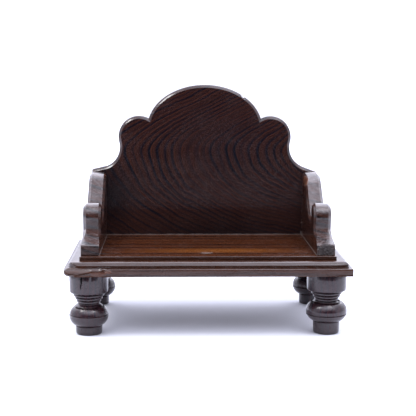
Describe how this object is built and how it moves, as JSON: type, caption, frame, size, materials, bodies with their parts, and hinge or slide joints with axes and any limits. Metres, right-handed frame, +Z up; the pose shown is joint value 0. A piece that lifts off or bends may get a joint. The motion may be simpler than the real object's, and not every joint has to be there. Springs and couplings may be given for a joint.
{
  "type": "miniature throne seat",
  "caption": "Small wooden throne-shaped display seat: moulded seat board on turned legs, scalloped back board and chamfered side arms with a front scroll.",
  "frame": {"origin": "on the floor, at the centre of the footprint", "axes": "+Z up; -Y is the open front, +Y the back board; +X is the viewer's right when facing the front"},
  "size_m": [0.3, 0.194, 0.2582],
  "materials": {
    "seat_wood": "worn dark rosewood, rubbed wax polish, warmer on the seat surface",
    "back_wood": "dark figured rosewood, semi-gloss polish",
    "arm_wood": "dark rosewood, semi-gloss polish, worn edges",
    "leg_wood": "dark turned rosewood, semi-gloss polish",
    "dowel_wood": "plain unpolished hardwood"
  },
  "bodies": {
    "root": {"seat_board": "seat_wood", "back_board": "back_wood", "left_arm": "arm_wood", "right_arm": "arm_wood", "front_left_leg": "leg_wood", "front_right_leg": "leg_wood", "rear_left_leg": "leg_wood", "rear_right_leg": "leg_wood", "left_arm_dowels": "dowel_wood", "right_arm_dowels": "dowel_wood", "back_dowels": "dowel_wood", "left_back_pegs": "dowel_wood", "right_back_pegs": "dowel_wood"}
  },
  "joints": []
}
